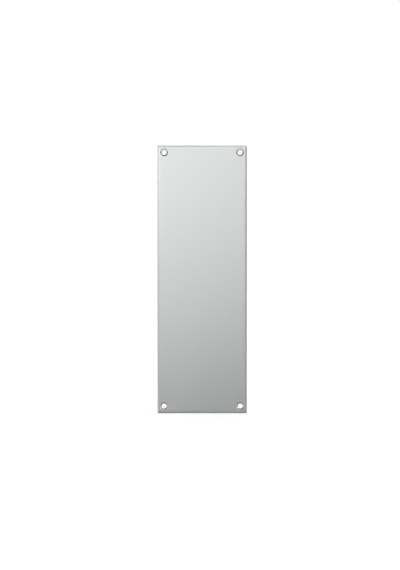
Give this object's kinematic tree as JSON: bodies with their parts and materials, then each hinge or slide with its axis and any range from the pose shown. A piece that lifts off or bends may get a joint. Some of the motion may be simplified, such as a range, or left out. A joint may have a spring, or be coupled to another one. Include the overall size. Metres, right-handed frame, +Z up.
{
  "type": "kick plate",
  "caption": "Upright rectangular door face plate in satin aluminium with softly rounded front edges and a countersunk screw hole near each corner.",
  "frame": {"origin": "centre of the back face, which lies against the door", "axes": "+Z up the long side, +Y through the plate into the door, so the front faces -Y, and +X to the right as the front is looked at"},
  "size_m": [0.1, 0.002, 0.3],
  "materials": {
    "anodised_aluminium": "satin anodised, natural silver"
  },
  "bodies": {
    "root": {"plate": "anodised_aluminium"}
  },
  "joints": []
}
